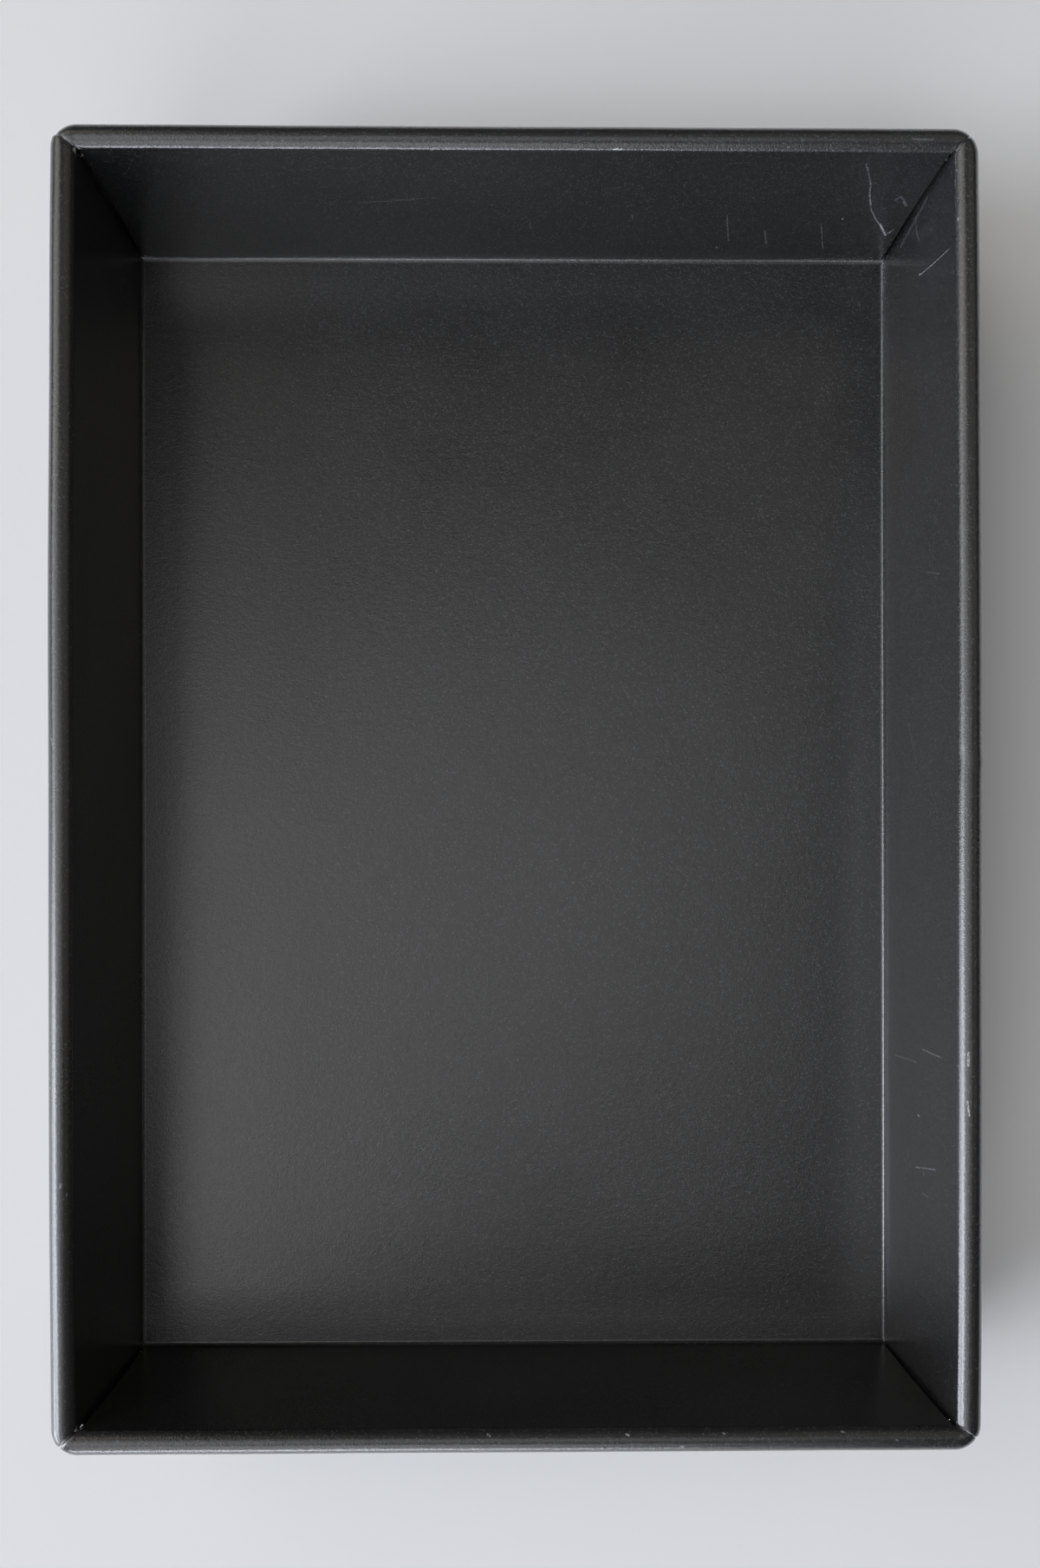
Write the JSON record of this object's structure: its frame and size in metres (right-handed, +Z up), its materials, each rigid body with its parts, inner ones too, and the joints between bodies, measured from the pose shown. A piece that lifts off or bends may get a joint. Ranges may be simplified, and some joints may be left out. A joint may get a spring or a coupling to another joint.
{
  "type": "rectangular folded baking pan",
  "caption": "Rectangular folded steel baking pan with slightly flared walls, envelope-folded corners and a rolled rim curled round an enclosed wire.",
  "frame": {"origin": "centre of the underside, on the surface the pan stands on", "axes": "+Z up, X across the short side (+X right), Y along the long side (+Y back)"},
  "size_m": [0.2422, 0.3438, 0.0571],
  "materials": {
    "coated_steel": "satin dark grey non-stick coating with a fine sparkling grain, on folded sheet steel",
    "wire_steel": "plain drawn steel wire"
  },
  "bodies": {
    "root": {"floor_panel": "coated_steel", "side_wall_left": "coated_steel", "side_wall_right": "coated_steel", "end_wall_front": "coated_steel", "end_wall_back": "coated_steel", "corner_fold_front_left": "coated_steel", "corner_fold_front_right": "coated_steel", "corner_fold_back_left": "coated_steel", "corner_fold_back_right": "coated_steel", "rolled_rim_left": "coated_steel", "rolled_rim_right": "coated_steel", "rolled_rim_front": "coated_steel", "rolled_rim_back": "coated_steel", "rim_wire": "wire_steel"}
  },
  "joints": []
}
